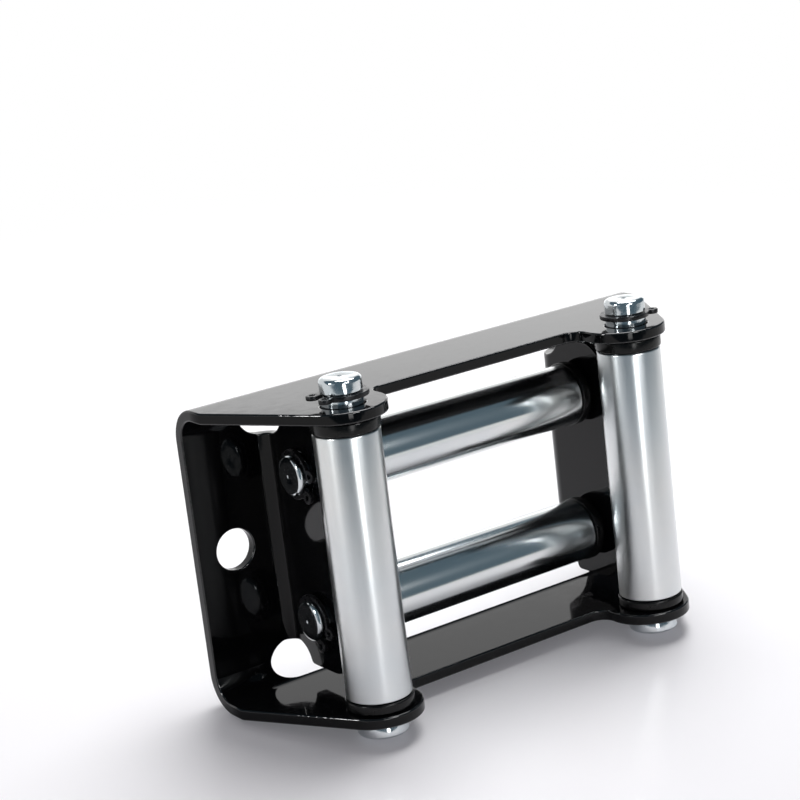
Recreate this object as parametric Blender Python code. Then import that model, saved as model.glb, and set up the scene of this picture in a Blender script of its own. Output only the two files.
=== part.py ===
"""Four-way roller fairlead: a folded plate frame, four tube rollers on headed pins, bushes and spring clips.

In the frame's own axes the back face lies in the plane Y = 0, the front is toward -Y, Z = 0 is
half way up and X = 0 is the middle of its length. One empty moves that to the part's origin, the
middle of its footprint at the height of the lowest pin heads. Sizes are in millimetres here and
become metres in the meshes.
"""
import math

import bmesh
import bpy
from mathutils import Vector

MM = 0.001

# running and assembly clearance between neighbouring pieces
GAP = 0.3

# folded plate frame
FRAME_LENGTH = 146.5
FRAME_HEIGHT = 83.4
PLATE = 3.0
FLANGE_BEND_RADIUS = 6.5
FLANGE_EDGE_BEHIND_PIN = 7.0
TAPER_START = 14.6
BOLT_FROM_END = 11.35
BOLT_HOLE = 11.2
EAR_RADIUS = 11.8
EAR_INBOARD = 0.4
EAR_SETBACK = 1.6
EAR_FILLET = 4.0
TAB_FROM_END = 28.25
TAB_BEND_RADIUS = 4.0
TAB_FLANGE_GAP = 4.0
TAB_ROLLER_GAP = 1.5
TAB_CORNER = 8.0
RELIEF_RADIUS = 6.5
RELIEF_BEYOND_TAB = 0.8
RELIEF_BEYOND_FOLD = 4.1
RELIEF_STRAIGHT = 3.7
RELIEF_EDGE_ROUND = 1.5

# pins, rollers and bushes
PIN_DIAMETER = 11.0
PIN_HEAD_RIM = 1.3
PIN_HEAD = 3.9
PIN_HEAD_CHAMFER = 0.9
PIN_CHAMFER = 1.0
PIN_DIMPLE = 0.8
PIN_FROM_END = 26.75
HORIZONTAL_PIN_SPACING = 40.0
HORIZONTAL_PIN_FORWARD = 18.0
ROLLER_ROW_GAP = 5.1
ROLLER_WALL = 1.8
ROLLER_CHAMFER = 0.4
BUSH_WALL = 0.8
BUSH_RIM = 0.3
BUSH_SLEEVE = 9.0
BUSH_FLANGE = 3.1
HEAD_END_BUSH_FLANGE = 2.6
BUSH_CHAMFER = 0.4
HORIZONTAL_END_PLAY = 1.8

# spring clips
CLIP_THICKNESS = 1.2
CLIP_BITE = 0.9
CLIP_BACK = 2.1
CLIP_NECK = 1.5
CLIP_MOUTH = 2.9
CLIP_LUG_RADIUS = 1.75
CLIP_LUG_REACH = 2.4
CLIP_LUG_HOLE = 1.5
VERTICAL_CLIP_STANDOFF = 2.0
HORIZONTAL_CLIP_STANDOFF = 1.0
VERTICAL_PIN_END = 3.95
HORIZONTAL_PIN_END = 1.5

# sizes that follow from the ones above
HALF_LENGTH = FRAME_LENGTH / 2
HALF_HEIGHT = FRAME_HEIGHT / 2
INSIDE_FLANGES = HALF_HEIGHT - PLATE
INSIDE_TABS = HALF_LENGTH - TAB_FROM_END
BOLT_X = HALF_LENGTH - BOLT_FROM_END
PIN_X = HALF_LENGTH - PIN_FROM_END
PIN_Z = HORIZONTAL_PIN_SPACING / 2
PIN_HOLE_RADIUS = PIN_DIAMETER / 2 + GAP
BUSH_BORE_RADIUS = PIN_DIAMETER / 2 + GAP
BUSH_SLEEVE_RADIUS = BUSH_BORE_RADIUS + BUSH_WALL
ROLLER_BORE_RADIUS = BUSH_SLEEVE_RADIUS + GAP
ROLLER_RADIUS = ROLLER_BORE_RADIUS + ROLLER_WALL
BUSH_FLANGE_RADIUS = ROLLER_RADIUS + BUSH_RIM
VERTICAL_PIN_FORWARD = HORIZONTAL_PIN_FORWARD + 2 * ROLLER_RADIUS + ROLLER_ROW_GAP
FLANGE_DEPTH = VERTICAL_PIN_FORWARD - FLANGE_EDGE_BEHIND_PIN
FLANGE_OUTER_RADIUS = FLANGE_BEND_RADIUS + PLATE
FLANGE_ARC = math.pi / 2 * (FLANGE_BEND_RADIUS + PLATE / 2)
WEB_HALF = HALF_HEIGHT - FLANGE_OUTER_RADIUS
TAB_OUTER_RADIUS = TAB_BEND_RADIUS + PLATE
TAB_ARC = math.pi / 2 * (TAB_BEND_RADIUS + PLATE / 2)
TAB_FOLD = INSIDE_TABS + TAB_OUTER_RADIUS
TAB_DEPTH = VERTICAL_PIN_FORWARD - BUSH_FLANGE_RADIUS - TAB_ROLLER_GAP
TAB_TIP = TAB_FOLD - TAB_ARC - (TAB_DEPTH - TAB_OUTER_RADIUS)
TAB_HALF = INSIDE_FLANGES - TAB_FLANGE_GAP
RELIEF_ROW = TAB_HALF + RELIEF_BEYOND_TAB
RELIEF_OUTER = TAB_FOLD + RELIEF_BEYOND_FOLD - RELIEF_RADIUS
RELIEF_INNER = RELIEF_OUTER - RELIEF_STRAIGHT
CLIP_INNER_RADIUS = PIN_DIAMETER / 2 - CLIP_BITE + GAP
DEPTH = VERTICAL_PIN_FORWARD - EAR_SETBACK + EAR_RADIUS
BASE = HALF_HEIGHT + GAP + PIN_HEAD


def material(name, colour, metallic, roughness):
    """A plain Principled material."""
    made = bpy.data.materials.new(name)
    made.use_nodes = True
    shader = made.node_tree.nodes["Principled BSDF"]
    shader.inputs["Base Color"].default_value = (*colour, 1.0)
    shader.inputs["Metallic"].default_value = metallic
    shader.inputs["Roughness"].default_value = roughness
    return made


def finish(name, bm, look, parent=None, place=(0, 0, 0), turn=(0, 0, 0)):
    """Turns a bmesh in millimetres into a named object in metres."""
    bmesh.ops.recalc_face_normals(bm, faces=bm.faces)
    bmesh.ops.scale(bm, verts=bm.verts, vec=(MM, MM, MM))
    mesh = bpy.data.meshes.new(name)
    bm.to_mesh(mesh)
    bm.free()
    mesh.shade_smooth()
    mesh.set_sharp_from_angle(angle=math.radians(30))
    thing = bpy.data.objects.new(name, mesh)
    bpy.context.scene.collection.objects.link(thing)
    mesh.materials.append(look)
    thing.parent = parent
    thing.location = Vector(place) * MM
    thing.rotation_euler = turn
    return thing


def arc(centre, radius, start, end, steps):
    """Points on an arc between two angles in degrees, both ends included."""
    points = []
    for i in range(steps + 1):
        angle = math.radians(start + (end - start) * i / steps)
        points.append((centre[0] + radius * math.cos(angle), centre[1] + radius * math.sin(angle)))
    return points


def flange_row(forward):
    """Height in the flat blank of a flange line that ends up this far forward of the back face."""
    return WEB_HALF + FLANGE_ARC + forward - FLANGE_OUTER_RADIUS


def mirrored(points):
    """The same run of points on the other side of X = 0, walked the other way."""
    return [(-x, y) for x, y in reversed(points)]


def outer_quarter():
    """Right upper quarter of the blank's outer edge, from the web's end to the middle of the flange."""
    ear = (PIN_X - EAR_INBOARD, flange_row(VERTICAL_PIN_FORWARD - EAR_SETBACK))
    start = (HALF_LENGTH, flange_row(TAPER_START))
    away = math.hypot(start[0] - ear[0], start[1] - ear[1])
    toward = math.degrees(math.atan2(start[1] - ear[1], start[0] - ear[0]))
    touch = toward + math.degrees(math.acos(EAR_RADIUS / away))
    edge = flange_row(FLANGE_DEPTH)
    drop = ear[1] - edge - EAR_FILLET
    reach = EAR_RADIUS + EAR_FILLET
    fillet = (ear[0] - math.sqrt(reach ** 2 - drop ** 2), edge + EAR_FILLET)
    meet = math.degrees(math.atan2(fillet[1] - ear[1], fillet[0] - ear[0])) % 360
    points = [(HALF_LENGTH, 0), start]
    points += arc(ear, EAR_RADIUS, touch, meet, 16)
    points += arc(fillet, EAR_FILLET, meet - 180, -90, 5)[1:]
    return points


def window_quarter():
    """Right lower quarter of the window's edge, from its lower edge's middle to the tab's tip."""
    points = [(0, -RELIEF_ROW - RELIEF_RADIUS)]
    points += arc((RELIEF_OUTER, -RELIEF_ROW), RELIEF_RADIUS, -90, 90, 16)
    inner = (RELIEF_INNER, -RELIEF_ROW)
    rise = RELIEF_ROW - TAB_HALF + RELIEF_EDGE_ROUND
    reach = RELIEF_RADIUS + RELIEF_EDGE_ROUND
    corner = (inner[0] - math.sqrt(reach ** 2 - rise ** 2), RELIEF_EDGE_ROUND - TAB_HALF)
    meet = math.degrees(math.atan2(rise, corner[0] - inner[0]))
    points += arc(inner, RELIEF_RADIUS, 90, meet, 7)
    points += arc(corner, RELIEF_EDGE_ROUND, meet - 180, -90, 4)[1:]
    points += arc((TAB_TIP + TAB_CORNER, TAB_CORNER - TAB_HALF), TAB_CORNER, 270, 180, 6)
    return points


def loop_edges(bm, points):
    """A closed run of edges in the plane Z = 0."""
    verts = []
    for x, y in points:
        if verts and math.hypot(verts[-1].co.x - x, verts[-1].co.y - y) < 1e-4:
            continue
        verts.append(bm.verts.new((x, y, 0)))
    if (verts[0].co - verts[-1].co).length < 1e-4:
        bm.verts.remove(verts.pop())
    return [bm.edges.new((verts[i - 1], verts[i])) for i in range(len(verts))]


def cut_line(bm, point, normal):
    """Adds an edge row along one line of the blank."""
    bmesh.ops.bisect_plane(bm, geom=bm.verts[:] + bm.edges[:] + bm.faces[:], plane_co=point, plane_no=normal,
                           dist=1e-5)


def fold(co):
    """Moves a point of the flat blank to its place in the folded frame."""
    x, row, depth = co
    if abs(x) < TAB_FOLD and abs(row) < RELIEF_ROW:
        along = TAB_FOLD - abs(x)
        angle = min(along / TAB_ARC, 1) * math.pi / 2
        radius = TAB_OUTER_RADIUS - depth
        ahead = max(along - TAB_ARC, 0)
        return Vector((math.copysign(TAB_FOLD - radius * math.sin(angle), x),
                       -TAB_OUTER_RADIUS + radius * math.cos(angle) - ahead, row))
    past = abs(row) - WEB_HALF
    if past <= 0:
        return Vector((x, -depth, row))
    angle = min(past / FLANGE_ARC, 1) * math.pi / 2
    radius = FLANGE_OUTER_RADIUS - depth
    ahead = max(past - FLANGE_ARC, 0)
    return Vector((x, -FLANGE_OUTER_RADIUS + radius * math.cos(angle) - ahead,
                   math.copysign(WEB_HALF + radius * math.sin(angle), row)))


def hole(centre, radius, steps):
    """A round hole's points."""
    return arc(centre, radius, 0, 360, steps)


def make_frame(look, parent):
    """Cuts the blank, gives it the plate's thickness and folds the flanges and the tabs forward."""
    bm = bmesh.new()
    quarter = outer_quarter()
    upper = quarter + mirrored(quarter)
    lower = [(x, -y) for x, y in reversed(upper)]
    edges = loop_edges(bm, upper[1:] + lower[1:])
    part = window_quarter()
    bottom = part[1:]
    right = bottom + [(x, -y) for x, y in reversed(bottom)]
    edges += loop_edges(bm, right + [(-x, y) for x, y in reversed(right)])
    tab_hole = TAB_FOLD - TAB_ARC - (HORIZONTAL_PIN_FORWARD - TAB_OUTER_RADIUS)
    for hand in (-1, 1):
        edges += loop_edges(bm, hole((hand * BOLT_X, 0), BOLT_HOLE / 2, 32))
        for up in (-1, 1):
            row = flange_row(VERTICAL_PIN_FORWARD)
            edges += loop_edges(bm, hole((hand * PIN_X, up * row), PIN_HOLE_RADIUS, 24))
            edges += loop_edges(bm, hole((hand * tab_hole, up * PIN_Z), PIN_HOLE_RADIUS, 24))
    bmesh.ops.triangle_fill(bm, use_beauty=True, edges=edges, normal=(0, 0, 1))
    for i in range(9):
        row = WEB_HALF + FLANGE_ARC * i / 8
        cut_line(bm, (0, row, 0), (0, 1, 0))
        cut_line(bm, (0, -row, 0), (0, 1, 0))
    for i in range(7):
        column = TAB_FOLD - TAB_ARC * i / 6
        cut_line(bm, (column, 0, 0), (1, 0, 0))
        cut_line(bm, (-column, 0, 0), (1, 0, 0))
    made = bmesh.ops.extrude_face_region(bm, geom=bm.faces[:])
    for vert in [g for g in made["geom"] if isinstance(g, bmesh.types.BMVert)]:
        vert.co.z = PLATE
    for vert in bm.verts:
        vert.co = fold(vert.co)
    bmesh.ops.triangulate(bm, faces=bm.faces[:])
    return finish("frame", bm, look, parent)


def lathe(profile, steps, closed):
    """Turns a profile of (radius, height) points about Z."""
    bm = bmesh.new()
    verts = [bm.verts.new((radius, 0, height)) for radius, height in profile]
    edges = [bm.edges.new((verts[i - 1], verts[i])) for i in range(1, len(verts))]
    if closed:
        edges.append(bm.edges.new((verts[-1], verts[0])))
    bmesh.ops.spin(bm, geom=verts + edges, cent=(0, 0, 0), axis=(0, 0, 1), dvec=(0, 0, 0),
                   angle=math.tau, steps=steps, use_merge=True)
    bmesh.ops.remove_doubles(bm, verts=bm.verts, dist=1e-4)
    return bm


def roller_mesh(low, top):
    """A tube with chamfered outer ends."""
    edge = ROLLER_CHAMFER
    profile = [(ROLLER_BORE_RADIUS, low), (ROLLER_RADIUS - edge, low), (ROLLER_RADIUS, low + edge),
               (ROLLER_RADIUS, top - edge), (ROLLER_RADIUS - edge, top), (ROLLER_BORE_RADIUS, top)]
    return lathe(profile, 40, True)


def bush_mesh(end, thick, hand):
    """A flanged bush: sleeve inside the tube, flange from the tube's end out to `end`."""
    low = end - thick
    rim = BUSH_FLANGE_RADIUS
    edge = BUSH_CHAMFER
    profile = [(BUSH_BORE_RADIUS, low - BUSH_SLEEVE), (BUSH_SLEEVE_RADIUS, low - BUSH_SLEEVE),
               (BUSH_SLEEVE_RADIUS, low), (rim - edge, low), (rim, low + edge), (rim, end - edge),
               (rim - edge, end), (BUSH_BORE_RADIUS, end)]
    return lathe([(radius, hand * height) for radius, height in profile], 32, True)


def pin_mesh(face, standoff, end):
    """A headed pin: head below -face, shank, clip groove above +face, chamfered end, dimple."""
    shank = PIN_DIAMETER / 2
    head = PIN_HOLE_RADIUS + PIN_HEAD_RIM - GAP
    groove = shank - CLIP_BITE
    groove_low = face + standoff - GAP
    groove_top = face + standoff + CLIP_THICKNESS + GAP
    under = -face - GAP
    foot = under - PIN_HEAD
    tip = face + standoff + CLIP_THICKNESS + end
    profile = [(0, foot), (head - PIN_HEAD_CHAMFER, foot), (head, foot + PIN_HEAD_CHAMFER),
               (head, under), (shank, under), (shank, groove_low), (groove, groove_low),
               (groove, groove_top), (shank, groove_top), (shank, tip - PIN_CHAMFER),
               (shank - PIN_CHAMFER, tip), (PIN_DIMPLE, tip), (0, tip - PIN_DIMPLE / 2)]
    return lathe(profile, 32, False)


def clip_outline():
    """The spring clip's outline: a ring that thins toward its mouth and ends in two round lugs."""
    inner = CLIP_INNER_RADIUS
    outer = inner + (CLIP_BACK + CLIP_NECK) / 2
    shift = (CLIP_NECK - CLIP_BACK) / 2
    side = CLIP_MOUTH / 2
    lug_y = side + CLIP_LUG_RADIUS
    lug_x = math.sqrt((inner + CLIP_LUG_REACH) ** 2 - lug_y ** 2)
    away = math.hypot(lug_x - shift, lug_y)
    along = (away ** 2 + outer ** 2 - CLIP_LUG_RADIUS ** 2) / (2 * away)
    bearing = math.degrees(math.atan2(lug_y, lug_x - shift) + math.acos(along / outer))
    meet_x = shift + outer * math.cos(math.radians(bearing))
    meet_y = outer * math.sin(math.radians(bearing))
    leave = math.degrees(math.atan2(meet_y - lug_y, meet_x - lug_x)) % 360
    half = [(math.sqrt(inner ** 2 - side ** 2), side)]
    half += arc((lug_x, lug_y), CLIP_LUG_RADIUS, -90, leave, 10)
    half += arc((shift, 0), outer, bearing, 180, 14)[1:]
    start = math.degrees(math.asin(side / inner))
    points = half + [(x, -y) for x, y in reversed(half[:-1])]
    return points + arc((0, 0), inner, 360 - start, start, 28)[1:-1], (lug_x, lug_y)


def clip_mesh(low):
    """A flat spring clip lying in the pin's groove, mouth toward +X, with its two plier holes."""
    bm = bmesh.new()
    points, lug = clip_outline()
    edges = loop_edges(bm, points)
    for hand in (-1, 1):
        edges += loop_edges(bm, hole((lug[0], hand * lug[1]), CLIP_LUG_HOLE / 2, 12))
    bmesh.ops.triangle_fill(bm, use_beauty=True, edges=edges, normal=(0, 0, 1))
    made = bmesh.ops.extrude_face_region(bm, geom=bm.faces[:])
    for vert in [g for g in made["geom"] if isinstance(g, bmesh.types.BMVert)]:
        vert.co.z = CLIP_THICKNESS
    bmesh.ops.translate(bm, verts=bm.verts, vec=(0, 0, low))
    return bm


def axis_empty(name, place, turn, parent=None):
    """An empty whose own Z runs along an axis, on a roller toward its pin's clipped end."""
    empty = bpy.data.objects.new(name, None)
    bpy.context.scene.collection.objects.link(empty)
    empty.empty_display_size = 0.02
    empty.location = Vector(place) * MM
    empty.rotation_euler = turn
    empty.parent = parent
    return empty


for old in list(bpy.data.objects):
    bpy.data.objects.remove(old, do_unlink=True)

black_paint = material("black_gloss_paint", (0.008, 0.008, 0.009), 0.0, 0.12)
zinc = material("zinc_plated_tube", (0.62, 0.64, 0.66), 1.0, 0.28)
bright_zinc = material("bright_zinc_pin", (0.70, 0.72, 0.74), 1.0, 0.2)
black_spring = material("black_spring_steel", (0.02, 0.02, 0.022), 0.6, 0.35)
black_plastic = material("black_plastic", (0.015, 0.015, 0.016), 0.0, 0.4)

centre = axis_empty("centre", (0, DEPTH / 2, BASE), (0, 0, 0))
make_frame(black_paint, centre)

upright = (0, 0, 0)
lying = (0, -math.pi / 2, 0)
stations = [
    ("vertical", "left", (-PIN_X, -VERTICAL_PIN_FORWARD, 0), upright, math.radians(177)),
    ("vertical", "right", (PIN_X, -VERTICAL_PIN_FORWARD, 0), upright, math.radians(-3)),
    ("horizontal", "upper", (0, -HORIZONTAL_PIN_FORWARD, PIN_Z), lying, math.radians(-110)),
    ("horizontal", "lower", (0, -HORIZONTAL_PIN_FORWARD, -PIN_Z), lying, math.radians(-135)),
]
for kind, side, place, turn, mouth in stations:
    axis = axis_empty(f"axis_{kind}_{side}", place, turn, centre)
    inside = INSIDE_FLANGES if kind == "vertical" else INSIDE_TABS
    face = inside + PLATE
    standoff = VERTICAL_CLIP_STANDOFF if kind == "vertical" else HORIZONTAL_CLIP_STANDOFF
    end = VERTICAL_PIN_END if kind == "vertical" else HORIZONTAL_PIN_END
    play = 0 if kind == "vertical" else HORIZONTAL_END_PLAY
    clip_end = inside - GAP
    head_end = inside - GAP - play
    roller = roller_mesh(HEAD_END_BUSH_FLANGE + GAP - head_end, clip_end - BUSH_FLANGE - GAP)
    finish(f"{kind}_roller_{side}", roller, zinc, axis)
    finish(f"bush_{kind}_{side}_a", bush_mesh(clip_end, BUSH_FLANGE, 1), black_plastic, axis)
    finish(f"bush_{kind}_{side}_b", bush_mesh(head_end, HEAD_END_BUSH_FLANGE, -1), black_plastic, axis)
    finish(f"{kind}_pin_{side}", pin_mesh(face, standoff, end), bright_zinc, axis)
    finish(f"clip_{kind}_{side}", clip_mesh(face + standoff), black_spring, axis, turn=(0, 0, mouth))

bpy.context.view_layer.update()
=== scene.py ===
import math

import bmesh
import bpy
from mathutils import Matrix, Vector


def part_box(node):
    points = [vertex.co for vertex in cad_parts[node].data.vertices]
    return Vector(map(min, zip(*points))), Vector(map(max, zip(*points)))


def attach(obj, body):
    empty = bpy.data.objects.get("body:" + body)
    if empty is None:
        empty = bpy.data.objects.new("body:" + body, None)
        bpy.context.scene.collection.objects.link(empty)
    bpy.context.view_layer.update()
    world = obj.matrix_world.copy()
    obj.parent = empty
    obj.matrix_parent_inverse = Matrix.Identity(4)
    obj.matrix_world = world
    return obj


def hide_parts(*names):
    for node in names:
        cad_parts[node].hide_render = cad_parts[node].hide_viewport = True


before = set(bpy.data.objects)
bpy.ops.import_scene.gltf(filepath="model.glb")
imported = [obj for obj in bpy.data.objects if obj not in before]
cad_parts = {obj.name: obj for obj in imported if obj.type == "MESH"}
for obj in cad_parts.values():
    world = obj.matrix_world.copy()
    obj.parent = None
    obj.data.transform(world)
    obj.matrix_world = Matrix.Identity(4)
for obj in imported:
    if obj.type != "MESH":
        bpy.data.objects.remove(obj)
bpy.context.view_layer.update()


# ---- Folded plate
# One blank of 3 mm steel, punched with its holes, its window and four round reliefs. The two flanges and the two
# inner tabs are folded forward in a press, so the whole body is one piece. Its powder coat is gloss black, and
# gathers in an uneven bead along the rims.
plate_low, plate_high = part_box("frame")
back_face = plate_high.y
mid_height = (plate_low.z + plate_high.z) / 2
plate_place = Vector((0, back_face, mid_height))

millimetre = 0.001
plate_thick = 3.0
half_length = 73.25
half_height = 41.7
flange_bend = 6.5
flange_depth = 33.5
taper_start = 14.6
ear_centre = (46.1, 38.9)
ear_radius = 11.8
ear_fillet = 4.0
upright_pin = (46.5, 40.5)
lying_pin = (18.0, 20.0)
pin_hole = 5.8
bolt_x = 61.9
bolt_hole = 5.6
tab_inner_face = 45.0
tab_bend = 4.0
tab_depth = 30.0
tab_half_height = 34.7
tab_corner = 8.0
relief_radius = 6.5
relief_row = 35.5
relief_outer = 49.6
relief_inner = 45.9
relief_round = 1.5
relief_margin = 0.2
plate_edge = 0.95

ear_steps = 30
fillet_steps = 8
relief_steps = 32
neck_steps = 14
corner_steps = 12
pin_hole_segments = 48
bolt_hole_segments = 64
flange_fold_steps = 24
tab_fold_steps = 16
rim_segments = 4
rim_angle = 1.2
weld = 1e-4

flange_outer = flange_bend + plate_thick
flange_arc = math.pi / 2 * (flange_bend + plate_thick / 2)
web_half = half_height - flange_outer
tab_outer = tab_bend + plate_thick
tab_arc = math.pi / 2 * (tab_bend + plate_thick / 2)
tab_fold = tab_inner_face + tab_outer
tab_tip = tab_fold - tab_arc - (tab_depth - tab_outer)


def blank_row(forward):
    """Where a point of the flange, this far forward of the back face, lies on the flat blank."""
    return web_half + flange_arc + forward - flange_outer


def line_to(bm, start, x, y):
    end = bm.verts.new((x, y, 0))
    bm.edges.new((start, end))
    return end


def arc_to(bm, start, centre, degrees, steps):
    made = bmesh.ops.spin(bm, geom=[start], cent=(centre[0], centre[1], 0), axis=(0, 0, 1), dvec=(0, 0, 0),
                          angle=math.radians(degrees), steps=steps)
    return [g for g in made["geom_last"] if isinstance(g, bmesh.types.BMVert)][0]


def angle_at(centre, point):
    return math.degrees(math.atan2(point[1] - centre[1], point[0] - centre[0]))


def sketch_outline(bm):
    """A quarter of the blank's outline: the end, the taper, the ear, its fillet and the set-back front edge."""
    ear = (ear_centre[0], blank_row(ear_centre[1]))
    edge_row = blank_row(flange_depth)
    start = (half_length, blank_row(taper_start))
    away = math.hypot(start[0] - ear[0], start[1] - ear[1])
    touch = angle_at(ear, start) + math.degrees(math.acos(ear_radius / away))
    drop = ear[1] - edge_row - ear_fillet
    fillet = (ear[0] - math.sqrt((ear_radius + ear_fillet) ** 2 - drop ** 2), edge_row + ear_fillet)
    meet = angle_at(ear, fillet) % 360
    at = bm.verts.new((half_length, 0, 0))
    at = line_to(bm, at, *start)
    at = line_to(bm, at, ear[0] + ear_radius * math.cos(math.radians(touch)),
                 ear[1] + ear_radius * math.sin(math.radians(touch)))
    at = arc_to(bm, at, ear, meet - touch, ear_steps)
    at = arc_to(bm, at, fillet, -90 - (meet - 180), fillet_steps)
    line_to(bm, at, 0, edge_row)


def sketch_window(bm):
    """A quarter of the window: its edge, the round relief, the relief's neck and the tab's rounded corner."""
    low = relief_row + relief_radius
    rise = relief_round + relief_row - tab_half_height
    round_x = relief_inner - math.sqrt((relief_radius + relief_round) ** 2 - rise ** 2)
    rounding = (round_x, tab_half_height - relief_round)
    meet = math.degrees(math.atan2(-rise, round_x - relief_inner)) % 360
    at = bm.verts.new((0, low, 0))
    at = line_to(bm, at, relief_outer, low)
    at = arc_to(bm, at, (relief_outer, relief_row), -180, relief_steps)
    at = line_to(bm, at, relief_inner, relief_row - relief_radius)
    at = arc_to(bm, at, (relief_inner, relief_row), -(270 - meet), neck_steps)
    at = arc_to(bm, at, rounding, 90 - (meet - 180), fillet_steps)
    at = line_to(bm, at, tab_tip + tab_corner, tab_half_height)
    at = arc_to(bm, at, (tab_tip + tab_corner, tab_half_height - tab_corner), 90, corner_steps)
    line_to(bm, at, tab_tip, 0)


def sketch_circle(bm, x, y, radius, segments):
    bmesh.ops.create_circle(bm, cap_ends=False, segments=segments, radius=radius,
                            matrix=Matrix.Translation((x, y, 0)))


def punch_sheet(bm, thick, edge, segments, rim_material):
    """Fills a closed sketch, gives it its thickness and rounds its rims."""
    bmesh.ops.remove_doubles(bm, verts=bm.verts, dist=weld)
    bmesh.ops.triangle_fill(bm, use_beauty=True, edges=bm.edges[:], normal=(0, 0, 1))
    bmesh.ops.dissolve_limit(bm, angle_limit=0.01, verts=[], edges=bm.edges[:])
    made = bmesh.ops.extrude_face_region(bm, geom=bm.faces[:])
    bmesh.ops.translate(bm, verts=[g for g in made["geom"] if isinstance(g, bmesh.types.BMVert)],
                        vec=(0, 0, thick))
    bmesh.ops.recalc_face_normals(bm, faces=bm.faces)
    rims = [rim for rim in bm.edges if rim.calc_face_angle(0) > rim_angle]
    bmesh.ops.bevel(bm, geom=rims, offset=edge, segments=segments, profile=0.5, affect="EDGES",
                    clamp_overlap=True, material=rim_material)


def cut_fold_rows(bm, first, arc, steps, across):
    """Cuts the flat blank into rows where it will bend, on both sides of its middle."""
    for i in range(steps + 1):
        for side in (1, -1):
            row = side * (first + arc * i / steps)
            bmesh.ops.bisect_plane(bm, geom=bm.verts[:] + bm.edges[:] + bm.faces[:], dist=1e-5,
                                   plane_co=[way * row for way in across], plane_no=across)


def folded(x, row, depth):
    """Where a point of the blank goes when the tabs and the flanges are folded forward."""
    if abs(x) < tab_fold and abs(row) < relief_row - relief_margin:
        along = tab_fold - abs(x)
        angle = min(along / tab_arc, 1) * math.pi / 2
        radius = tab_outer - depth
        return (math.copysign(tab_fold - radius * math.sin(angle), x),
                -tab_outer + radius * math.cos(angle) - max(along - tab_arc, 0), row)
    past = abs(row) - web_half
    if past <= 0:
        return (x, -depth, row)
    angle = min(past / flange_arc, 1) * math.pi / 2
    radius = flange_outer - depth
    return (x, -flange_outer + radius * math.cos(angle) - max(past - flange_arc, 0),
            math.copysign(web_half + radius * math.sin(angle), row))


def make_piece(name, bm, look, place, body, node, smooth=40):
    bmesh.ops.scale(bm, verts=bm.verts, vec=(millimetre, millimetre, millimetre))
    bmesh.ops.translate(bm, verts=bm.verts, vec=place)
    mesh = bpy.data.meshes.new(name)
    bm.to_mesh(mesh)
    bm.free()
    mesh.shade_smooth()
    mesh.set_sharp_from_angle(angle=math.radians(smooth))
    piece = bpy.data.objects.new(name, mesh)
    bpy.context.scene.collection.objects.link(piece)
    mesh.materials.append(look)
    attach(piece, body)
    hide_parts(node)
    return piece


def even_normals(piece):
    even = piece.modifiers.new("even_normals", "WEIGHTED_NORMAL")
    even.keep_sharp = True
    even.weight = 90


def start_look(name):
    look = bpy.data.materials.new(name)
    look.use_nodes = True
    nodes, links = look.node_tree.nodes, look.node_tree.links
    place = nodes.new("ShaderNodeTexCoord")
    return look, nodes, links, nodes["Principled BSDF"], place.outputs["Object"]


def noise(nodes, links, vector, scale, detail, stretch=(1, 1, 1)):
    shift = nodes.new("ShaderNodeMapping")
    shift.inputs["Scale"].default_value = stretch
    links.new(vector, shift.inputs["Vector"])
    made = nodes.new("ShaderNodeTexNoise")
    made.inputs["Scale"].default_value = scale
    made.inputs["Detail"].default_value = detail
    links.new(shift.outputs["Vector"], made.inputs["Vector"])
    return made.outputs["Fac"]


def ramp(nodes, links, value, stops):
    """Turns a value into a colour, or into a grey where a stop holds one number."""
    made = nodes.new("ShaderNodeValToRGB")
    while len(made.color_ramp.elements) < len(stops):
        made.color_ramp.elements.new(0.5)
    for element, (where, colour) in zip(made.color_ramp.elements, stops):
        element.position = where
        element.color = (*colour, 1) if len(colour) == 3 else (colour[0], colour[0], colour[0], 1)
    links.new(value, made.inputs["Fac"])
    return made.outputs["Color"]


def bump(nodes, links, height, strength, distance, under=None):
    made = nodes.new("ShaderNodeBump")
    made.inputs["Strength"].default_value = strength
    made.inputs["Distance"].default_value = distance
    links.new(height, made.inputs["Height"])
    if under is not None:
        links.new(under, made.inputs["Normal"])
    return made.outputs["Normal"]


def coat_look(name, ior, wave_height):
    look, nodes, links, shader, at = start_look(name)
    shader.inputs["IOR"].default_value = ior
    cloud = noise(nodes, links, at, scale=60, detail=3)
    links.new(ramp(nodes, links, cloud, [(0.3, (0.0015, 0.0015, 0.0018)), (0.7, (0.003, 0.003, 0.0035))]),
              shader.inputs["Base Color"])
    haze = noise(nodes, links, at, scale=350, detail=4)
    links.new(ramp(nodes, links, haze, [(0.3, (0.04,)), (0.75, (0.10,))]), shader.inputs["Roughness"])
    wave = bump(nodes, links, noise(nodes, links, at, scale=420, detail=1), strength=0.8, distance=wave_height)
    grain = noise(nodes, links, at, scale=1100, detail=2)
    links.new(bump(nodes, links, grain, strength=0.15, distance=0.00001, under=wave), shader.inputs["Normal"])
    return look


powder_coat = coat_look("gloss_black_powder_coat", ior=1.28, wave_height=0.000008)
coat_bead = coat_look("powder_coat_bead", ior=1.5, wave_height=0.00014)

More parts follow.
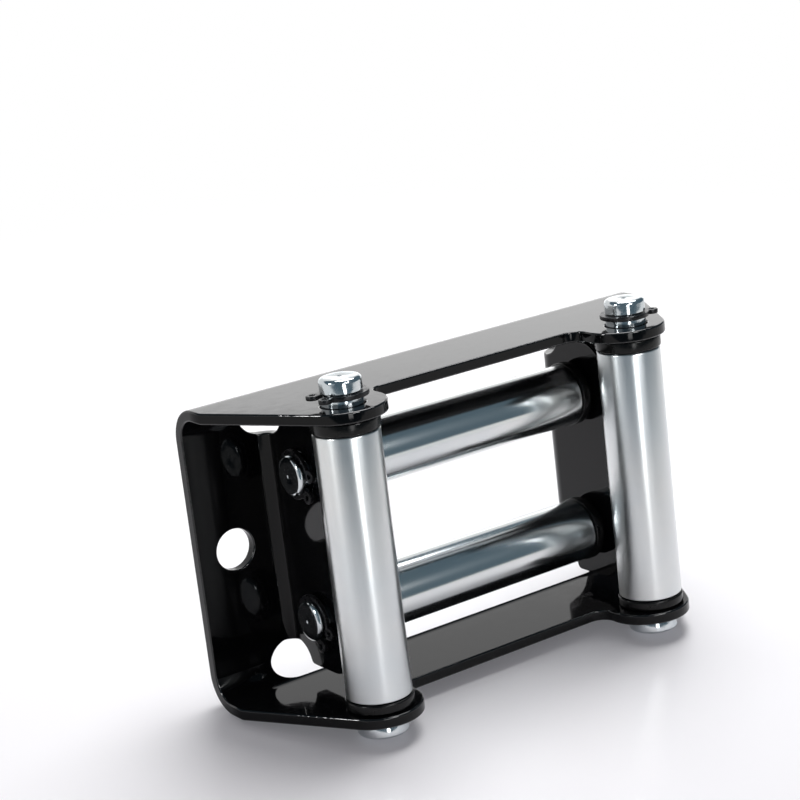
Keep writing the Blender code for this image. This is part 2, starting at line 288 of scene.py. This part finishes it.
bm = bmesh.new()
sketch_outline(bm)
sketch_window(bm)
sketch_circle(bm, upright_pin[0], blank_row(upright_pin[1]), pin_hole, pin_hole_segments)
sketch_circle(bm, tab_fold - tab_arc - (lying_pin[0] - tab_outer), lying_pin[1], pin_hole, pin_hole_segments)
for axis in ("X", "Y"):
    bmesh.ops.mirror(bm, geom=bm.verts[:] + bm.edges[:], axis=axis, merge_dist=weld)
sketch_circle(bm, bolt_x, 0, bolt_hole, bolt_hole_segments)
sketch_circle(bm, -bolt_x, 0, bolt_hole, bolt_hole_segments)
punch_sheet(bm, plate_thick, plate_edge, rim_segments, rim_material=1)
cut_fold_rows(bm, web_half, flange_arc, flange_fold_steps, across=(0, 1, 0))
cut_fold_rows(bm, tab_fold, -tab_arc, tab_fold_steps, across=(1, 0, 0))
for vert in bm.verts:
    vert.co = folded(*vert.co)
bmesh.ops.recalc_face_normals(bm, faces=bm.faces)
plate = make_piece("folded_plate", bm, powder_coat, plate_place, "fairlead_frame", "frame")
plate.data.materials.append(coat_bead)
even_normals(plate)


# ---- Steel rollers
# Four lengths of drawn steel tube with the end edges broken, zinc plated to a satin blue-white. Each turns freely
# on its own pin, the upright pair between the flanges and the lying pair between the tabs.
roller_radius = 8.7
roller_bore = 6.9
roller_edge = 0.35
roller_segments = 128
upright_ends = (-35.5, 35.0)
lying_ends = (-40.0, 41.3)
flange_inner_face = 38.7
upright_standoff = 2.0
lying_standoff = 1.0
upright_pin_end = 3.95
lying_pin_end = 1.5

upright_turn = Matrix.Identity(4)
lying_turn = Matrix.Rotation(math.radians(-90), 4, "Y")
upright_fit = (upright_turn, flange_inner_face, upright_standoff, upright_pin_end)
lying_fit = (lying_turn, tab_inner_face, lying_standoff, lying_pin_end)
stations = {
    "vertical_left": (Vector((-upright_pin[0], -upright_pin[1], 0)), *upright_fit),
    "vertical_right": (Vector((upright_pin[0], -upright_pin[1], 0)), *upright_fit),
    "horizontal_upper": (Vector((0, -lying_pin[0], lying_pin[1])), *lying_fit),
    "horizontal_lower": (Vector((0, -lying_pin[0], -lying_pin[1])), *lying_fit),
}


def node_name(kind, station):
    way, side = station.split("_")
    return f"{way}_{kind}_{side}"


def turned(profile, steps, closed):
    """A piece turned on the lathe from its profile of radius and height."""
    bm = bmesh.new()
    verts = [bm.verts.new((radius, 0, height)) for radius, height in profile]
    edges = [bm.edges.new(pair) for pair in zip(verts, verts[1:])]
    if closed:
        edges.append(bm.edges.new((verts[-1], verts[0])))
    bmesh.ops.spin(bm, geom=verts + edges, cent=(0, 0, 0), axis=(0, 0, 1), dvec=(0, 0, 0), angle=math.tau,
                   steps=steps, use_merge=True)
    bmesh.ops.remove_doubles(bm, verts=bm.verts, dist=weld)
    bmesh.ops.recalc_face_normals(bm, faces=bm.faces)
    return bm


def rounded(centre, radius, start, steps=4):
    """Points of a quarter round about a centre, from the start angle through 90 degrees."""
    return [(centre[0] + radius * math.cos(math.radians(start + 90 * i / steps)),
             centre[1] + radius * math.sin(math.radians(start + 90 * i / steps))) for i in range(steps + 1)]


def settle(bm, station):
    """Moves a piece made about its own axis to its pin's place and direction."""
    spot, turn = stations[station][:2]
    bmesh.ops.transform(bm, matrix=Matrix.Translation(spot) @ turn, verts=bm.verts)
    return bm


def lathe_sheen(nodes, links, shader, axis, pull):
    """Draws the highlight out along the axis, as fine marks round a turned piece do."""
    shader.inputs["Anisotropic"].default_value = pull
    shader.inputs["Anisotropic Rotation"].default_value = 0.25
    around = nodes.new("ShaderNodeTangent")
    around.direction_type = "RADIAL"
    around.axis = axis
    links.new(around.outputs["Tangent"], shader.inputs["Tangent"])


def zinc_look(name, axis, along, rough, pull):
    look, nodes, links, shader, at = start_look(name)
    shader.inputs["Metallic"].default_value = 1.0
    tint = noise(nodes, links, at, scale=40, detail=4)
    links.new(ramp(nodes, links, tint, [(0.3, (0.60, 0.635, 0.65)), (0.5, (0.64, 0.66, 0.665)),
                                        (0.7, (0.68, 0.685, 0.675))]), shader.inputs["Base Color"])
    cloud = noise(nodes, links, at, scale=90, detail=3, stretch=along)
    links.new(ramp(nodes, links, cloud, [(0.3, (rough - 0.015,)), (0.7, (rough + 0.015,))]),
              shader.inputs["Roughness"])
    lathe_sheen(nodes, links, shader, axis, pull)
    draw_marks = noise(nodes, links, at, scale=160, detail=1, stretch=along)
    links.new(bump(nodes, links, draw_marks, strength=0.5, distance=0.00002), shader.inputs["Normal"])
    return look


upright_zinc = zinc_look("satin_zinc_upright", "Z", along=(1, 1, 0.25), rough=0.30, pull=0.65)
lying_zinc = zinc_look("satin_zinc_lying", "X", along=(0.25, 1, 1), rough=0.17, pull=0.5)
for station in stations:
    low, top = upright_ends if station.startswith("vertical") else lying_ends
    profile = [(roller_bore, low), (roller_radius - roller_edge, low)]
    profile += rounded((roller_radius - roller_edge, low + roller_edge), roller_edge, 270)[1:]
    profile += rounded((roller_radius - roller_edge, top - roller_edge), roller_edge, 0)
    profile += [(roller_bore, top)]
    bm = settle(turned(profile, roller_segments, closed=True), station)
    make_piece(f"tube_{station}", bm, upright_zinc if station.startswith("vertical") else lying_zinc, plate_place,
               f"{station}_roller", node_name("roller", station), 50)


# ---- Headed pins
# Turned steel pins, bright zinc plated. Each has a low upset head with a drafted wall at one end, and a clip groove
# near the other end, which is rounded over and keeps the lathe's centre mark.
pin_radius = 5.5
pin_segments = 96
head_radius = 6.8
head_height = 3.9
head_edge = 0.7
head_draft = 0.95
clip_thick = 1.2
groove_depth = 0.9
groove_break = 0.1
tip_round = 1.05
tip_steps = 8
mark_radius = 0.9
mark_floor = 0.7
mark_rim_drop = 0.05
mark_depth = 0.3
gap = 0.3


def bright_look(name, axis):
    look, nodes, links, shader, at = start_look(name)
    shader.inputs["Metallic"].default_value = 1.0
    tint = noise(nodes, links, at, scale=120, detail=4)
    links.new(ramp(nodes, links, tint, [(0.3, (0.50, 0.55, 0.58)), (0.7, (0.62, 0.64, 0.65))]),
              shader.inputs["Base Color"])
    haze = noise(nodes, links, at, scale=500, detail=3)
    links.new(ramp(nodes, links, haze, [(0.3, (0.09,)), (0.7, (0.17,))]), shader.inputs["Roughness"])
    lathe_sheen(nodes, links, shader, axis, pull=0.3)
    dents = bump(nodes, links, noise(nodes, links, at, scale=330, detail=1), strength=0.8, distance=0.00012)
    grain = noise(nodes, links, at, scale=1400, detail=3)
    links.new(bump(nodes, links, grain, strength=0.2, distance=0.00003, under=dents), shader.inputs["Normal"])
    return look


upright_bright = bright_look("bright_zinc_upright", "Z")
lying_bright = bright_look("bright_zinc_lying", "X")
for station, (_, _, inside, standoff, pin_end) in stations.items():
    face = inside + plate_thick
    under = -face - gap
    low = face + standoff - gap
    top = face + standoff + clip_thick + gap
    tip = face + standoff + clip_thick + pin_end
    profile = [(0, under - head_height), (head_radius - head_edge, under - head_height)]
    profile += rounded((head_radius - head_edge, under - head_height + head_edge), head_edge, 270)[1:]
    profile += [(head_radius - head_draft, under), (pin_radius, under), (pin_radius, low),
                (pin_radius - groove_depth, low), (pin_radius - groove_depth, top),
                (pin_radius - groove_break, top), (pin_radius, top + groove_break), (pin_radius, tip - tip_round)]
    profile += rounded((pin_radius - tip_round, tip - tip_round), tip_round, 0, tip_steps)[1:]
    profile += [(mark_radius, tip), (mark_floor, tip - mark_rim_drop), (0, tip - mark_depth)]
    bm = settle(turned(profile, pin_segments, closed=False), station)
    make_piece(f"pin_{station}", bm, upright_bright if station.startswith("vertical") else lying_bright, plate_place,
               "fairlead_frame", node_name("pin", station), 40)


# ---- Spring clips
# Stamped open rings of blackened spring steel, sprung into the pin's groove with pliers. Each thins toward its mouth
# and ends in two round lugs with a plier hole.
clip_inner = 4.9
clip_outer = 6.7
clip_shift = -0.3
clip_mouth = 1.45
clip_edge = 0.2
clip_steps = 24
lug_radius = 1.75
lug_reach = 7.3
lug_hole = 0.75
lug_steps = 14
lug_hole_segments = 20
mouth_degrees = {"vertical_left": 177, "vertical_right": -3, "horizontal_upper": -110, "horizontal_lower": -135}
lug = (math.sqrt(lug_reach ** 2 - (clip_mouth + lug_radius) ** 2), clip_mouth + lug_radius)
mouth_corner = (math.sqrt(clip_inner ** 2 - clip_mouth ** 2), clip_mouth)

spring_black, nodes, links, shader, at = start_look("blackened_spring_steel")
shader.inputs["Metallic"].default_value = 0.5
tint = noise(nodes, links, at, scale=300, detail=3)
links.new(ramp(nodes, links, tint, [(0.3, (0.008, 0.008, 0.009)), (0.7, (0.02, 0.02, 0.022))]),
          shader.inputs["Base Color"])
haze = noise(nodes, links, at, scale=900, detail=3)
links.new(ramp(nodes, links, haze, [(0.3, (0.2,)), (0.7, (0.4,))]), shader.inputs["Roughness"])
grain = noise(nodes, links, at, scale=1500, detail=3)
links.new(bump(nodes, links, grain, strength=0.3, distance=0.00003), shader.inputs["Normal"])


def sketch_clip(bm):
    """Half of the clip: the mouth, the lug, the outer edge and the inner edge."""
    away = math.hypot(lug[0] - clip_shift, lug[1])
    along = (away ** 2 + clip_outer ** 2 - lug_radius ** 2) / (2 * away)
    bearing = math.degrees(math.atan2(lug[1], lug[0] - clip_shift) + math.acos(along / clip_outer))
    meet = (clip_shift + clip_outer * math.cos(math.radians(bearing)), clip_outer * math.sin(math.radians(bearing)))
    leave = angle_at(lug, meet) % 360
    mouth = bm.verts.new((*mouth_corner, 0))
    edge = line_to(bm, mouth, lug[0], clip_mouth)
    edge = arc_to(bm, edge, lug, leave + 90, lug_steps)
    arc_to(bm, edge, (clip_shift, 0), 180 - bearing, clip_steps)
    mouth = bm.verts.new((*mouth_corner, 0))
    arc_to(bm, mouth, (0, 0), 180 - angle_at((0, 0), mouth.co), clip_steps)
    sketch_circle(bm, lug[0], lug[1], lug_hole, lug_hole_segments)


for station, (_, _, inside, standoff, _) in stations.items():
    bm = bmesh.new()
    sketch_clip(bm)
    bmesh.ops.mirror(bm, geom=bm.verts[:] + bm.edges[:], axis="Y", merge_dist=weld)
    punch_sheet(bm, clip_thick, clip_edge, segments=2, rim_material=-1)
    bmesh.ops.recalc_face_normals(bm, faces=bm.faces)
    lift = Matrix.Translation((0, 0, inside + plate_thick + standoff))
    spin = Matrix.Rotation(math.radians(mouth_degrees[station]), 4, "Z")
    bmesh.ops.transform(bm, matrix=lift @ spin, verts=bm.verts)
    clip = make_piece(f"spring_clip_{station}", settle(bm, station), spring_black, plate_place,
                      "fairlead_frame", f"clip_{station}")
    even_normals(clip)


# ---- Flanged bushes
# Moulded black plastic bushes pressed into both ends of each roller. The flange keeps the tube off the plate, and is
# thinner at the pin's head. The lying rollers have end play there.
bush_bore = 5.8
bush_sleeve = 6.6
sleeve_length = 9.0
bush_flange = 9.0
bush_thick = {"a": 3.1, "b": 2.6}
bush_edge = 0.4
bush_segments = 96
end_play = 1.8

moulded_black, nodes, links, shader, at = start_look("moulded_black_plastic")
tint = noise(nodes, links, at, scale=200, detail=3)
links.new(ramp(nodes, links, tint, [(0.3, (0.003, 0.003, 0.003)), (0.7, (0.007, 0.007, 0.007))]),
          shader.inputs["Base Color"])
haze = noise(nodes, links, at, scale=900, detail=3)
links.new(ramp(nodes, links, haze, [(0.3, (0.16,)), (0.7, (0.26,))]), shader.inputs["Roughness"])
shader.inputs["IOR"].default_value = 1.3
grain = noise(nodes, links, at, scale=2500, detail=2)
links.new(bump(nodes, links, grain, strength=0.2, distance=0.00002), shader.inputs["Normal"])

for station, (_, _, inside, _, _) in stations.items():
    for letter, thick in bush_thick.items():
        top = inside - gap
        if letter == "b" and station.startswith("horizontal"):
            top -= end_play
        low = top - thick
        profile = [(bush_bore, low - sleeve_length), (bush_sleeve, low - sleeve_length), (bush_sleeve, low),
                   (bush_flange - bush_edge, low)]
        profile += rounded((bush_flange - bush_edge, low + bush_edge), bush_edge, 270)[1:]
        profile += rounded((bush_flange - bush_edge, top - bush_edge), bush_edge, 0)
        profile += [(bush_bore, top)]
        bm = turned(profile, bush_segments, closed=True)
        if letter == "b":
            bmesh.ops.rotate(bm, verts=bm.verts, cent=(0, 0, 0), matrix=Matrix.Rotation(math.pi, 3, "X"))
        make_piece(f"flanged_bush_{station}_{letter}", settle(bm, station), moulded_black, plate_place,
                   f"{station}_roller", f"bush_{station}_{letter}", 50)


# ---- Pale sheet
# The sheet of card that the part is photographed on. The part rests on its two lower pin heads and its lower back
# bend, so the sheet is tilted in the part's own axes. It fades to plain white away from the part.
sheet_tilt = math.radians(8.2)
sheet_turn = math.radians(-33.4)
sheet_half = 1.25
sheet_shift = 0.75
contact = Vector((0, plate_place.y - 0.0345, -0.0001))
sheet_colour = (0.815, 0.808, 0.822, 1)
sheet_glow = (0.120, 0.121, 0.130, 1)
fade_start = 0.09
fade_end = 0.5


def stage_mesh(name, bm, look):
    mesh = bpy.data.meshes.new(name)
    bm.to_mesh(mesh)
    bm.free()
    mesh.materials.append(look)
    thing = bpy.data.objects.new(name, mesh)
    bpy.context.scene.collection.objects.link(thing)
    return thing


def seen_rays(nodes, links):
    """1 for what the camera sees directly, in a reflection or through glass, and 0 for soft light."""
    path = nodes.new("ShaderNodeLightPath")
    first = nodes.new("ShaderNodeMath")
    first.operation = "MAXIMUM"
    links.new(path.outputs["Is Camera Ray"], first.inputs[0])
    links.new(path.outputs["Is Glossy Ray"], first.inputs[1])
    both = nodes.new("ShaderNodeMath")
    both.operation = "MAXIMUM"
    links.new(first.outputs[0], both.inputs[0])
    links.new(path.outputs["Is Transmission Ray"], both.inputs[1])
    return both.outputs[0]


def mix_shaders(nodes, links, factor, first, second):
    mix = nodes.new("ShaderNodeMixShader")
    links.new(factor, mix.inputs["Fac"])
    links.new(first, mix.inputs[1])
    links.new(second, mix.inputs[2])
    return mix.outputs[0]


pale = bpy.data.materials.new("pale_sheet")
pale.use_nodes = True
nodes, links = pale.node_tree.nodes, pale.node_tree.links
satin = nodes["Principled BSDF"]
satin.inputs["Base Color"].default_value = sheet_colour
satin.inputs["Roughness"].default_value = 0.25
satin.inputs["IOR"].default_value = 1.4
dull = nodes.new("ShaderNodeBsdfDiffuse")
dull.inputs["Color"].default_value = sheet_colour
eye = nodes.new("ShaderNodeLightPath")
card = mix_shaders(nodes, links, eye.outputs["Is Camera Ray"], dull.outputs[0], satin.outputs[0])
seen = seen_rays(nodes, links)
glow = nodes.new("ShaderNodeEmission")
glow.inputs["Color"].default_value = sheet_glow
links.new(seen, glow.inputs["Strength"])
lit_card = nodes.new("ShaderNodeAddShader")
links.new(card, lit_card.inputs[0])
links.new(glow.outputs[0], lit_card.inputs[1])
spot = nodes.new("ShaderNodeTexCoord")
reach = nodes.new("ShaderNodeVectorMath")
reach.operation = "LENGTH"
links.new(spot.outputs["Object"], reach.inputs[0])
fade = nodes.new("ShaderNodeMapRange")
fade.interpolation_type = "SMOOTHSTEP"
fade.inputs["From Min"].default_value = fade_start
fade.inputs["From Max"].default_value = fade_end
links.new(reach.outputs["Value"], fade.inputs["Value"])
share = nodes.new("ShaderNodeMath")
share.operation = "MULTIPLY"
links.new(fade.outputs["Result"], share.inputs[0])
links.new(seen, share.inputs[1])
white = nodes.new("ShaderNodeEmission")
sweep = mix_shaders(nodes, links, share.outputs[0], lit_card.outputs[0], white.outputs[0])
clear = nodes.new("ShaderNodeBsdfTransparent")
side = nodes.new("ShaderNodeNewGeometry")
sheet = mix_shaders(nodes, links, side.outputs["Backfacing"], sweep, clear.outputs[0])
links.new(sheet, nodes["Material Output"].inputs["Surface"])

bm = bmesh.new()
bmesh.ops.create_grid(bm, x_segments=8, y_segments=8, size=sheet_half,
                      matrix=Matrix.Translation(contact) @ Matrix.Rotation(sheet_tilt, 4, "X")
                      @ Matrix.Rotation(sheet_turn, 4, "Z") @ Matrix.Translation((0, sheet_shift, 0)))
stage_mesh("pale_floor", bm, pale)


# ---- Dark drape and white room
# The room is white behind the part and dark in front, as in a small studio. The dark cloth in front gives the black
# paint and the metal something dark to mirror, and looks bluer in them than in the soft light it gives.
drape_in_mirrors = (0.10, 0.15, 0.185, 1)
drape_soft_light = (0.15, 0.14, 0.15, 1)
drape_radius = 1.5
drape_cut = (0, 0.2, 0)
drape_slope = (0, 1, -0.85)
room_soft_light = (0.75, 0.75, 0.76, 1)
room_stops = [(0.62, (1.0,)), (0.80, (0.35,))]

dark = bpy.data.materials.new("dark_drape")
dark.use_nodes = True
nodes, links = dark.node_tree.nodes, dark.node_tree.links
nodes.remove(nodes["Principled BSDF"])
dim = nodes.new("ShaderNodeEmission")
shade = nodes.new("ShaderNodeMix")
shade.data_type = "RGBA"
shade.inputs["A"].default_value = drape_in_mirrors
shade.inputs["B"].default_value = drape_soft_light
path = nodes.new("ShaderNodeLightPath")
links.new(path.outputs["Is Diffuse Ray"], shade.inputs["Factor"])
links.new(shade.outputs["Result"], dim.inputs["Color"])
links.new(dim.outputs[0], nodes["Material Output"].inputs["Surface"])
bm = bmesh.new()
bmesh.ops.create_uvsphere(bm, u_segments=64, v_segments=32, radius=drape_radius)
bmesh.ops.bisect_plane(bm, geom=bm.verts[:] + bm.edges[:] + bm.faces[:], plane_co=drape_cut,
                       plane_no=drape_slope, clear_outer=True)
drape = stage_mesh("dark_drape", bm, dark)
drape.visible_camera = False
drape.visible_shadow = False

world = bpy.data.worlds.new("white_room")
bpy.context.scene.world = world
world.use_nodes = True
nodes, links = world.node_tree.nodes, world.node_tree.links
choose = nodes.new("ShaderNodeMix")
choose.data_type = "RGBA"
choose.inputs["A"].default_value = room_soft_light
links.new(seen_rays(nodes, links), choose.inputs["Factor"])
way = nodes.new("ShaderNodeTexCoord")
split = nodes.new("ShaderNodeSeparateXYZ")
links.new(way.outputs["Generated"], split.inputs["Vector"])
links.new(ramp(nodes, links, split.outputs["Z"], room_stops), choose.inputs["B"])
links.new(choose.outputs["Result"], nodes["Background"].inputs["Color"])


# ---- Softboxes
# One large softbox overhead and one long one behind light the part and the sheet. The small lamps in front and at
# the left only put highlights on the metal and the paint, and give the sheet no light.
lamp_aim = Vector((0, 0, 0.04))


def softbox(name, place, width, height, power, lights_sheet=True):
    lamp = bpy.data.lights.new(name, "AREA")
    lamp.shape = "RECTANGLE"
    lamp.size = width
    lamp.size_y = height
    lamp.energy = power
    holder = bpy.data.objects.new(name, lamp)
    bpy.context.scene.collection.objects.link(holder)
    holder.location = place
    holder.rotation_euler = (Vector(place) - lamp_aim).to_track_quat("Z", "Y").to_euler()
    holder.visible_camera = False
    holder.visible_diffuse = lights_sheet


softbox("key_softbox", (0.25, 0.13, 0.87), width=0.55, height=0.55, power=9.2)
softbox("back_softbox", (0.70, 1.0, 0.25), width=1.2, height=0.32, power=0.95)
softbox("front_strip", (-0.20, -0.73, 0.05), width=0.15, height=0.30, power=0.80, lights_sheet=False)
softbox("front_catch", (0.02, -0.68, 0.36), width=0.20, height=0.16, power=2.4, lights_sheet=False)
softbox("left_softbox", (-0.78, -0.15, 0.20), width=0.45, height=0.30, power=0.15, lights_sheet=False)
softbox("left_catch", (-0.72, 0.005, 0.38), width=0.06, height=0.20, power=2.2, lights_sheet=False)


# ---- Camera
# A long lens held a little above the part and to its left, and slightly tipped over, as the photograph shows it.
# Its place is in metres and its angles are in degrees, in the part's own axes.
camera_place = (-0.3168, -0.45137, 0.21627)
camera_heading = -33.37
camera_dip = 14.17
camera_roll = -6.82

camera = bpy.data.objects.new("camera", bpy.data.cameras.new("camera"))
bpy.context.scene.collection.objects.link(camera)
camera.data.sensor_width = 36
camera.data.lens = 95.75
camera.data.clip_start = 0.01
camera.matrix_world = (Matrix.Translation(camera_place)
                       @ Matrix.Rotation(math.radians(camera_heading), 4, "Z")
                       @ Matrix.Rotation(math.radians(90 - camera_dip), 4, "X")
                       @ Matrix.Rotation(math.radians(camera_roll), 4, "Z"))
bpy.context.scene.camera = camera
bpy.context.scene.view_settings.view_transform = "Standard"
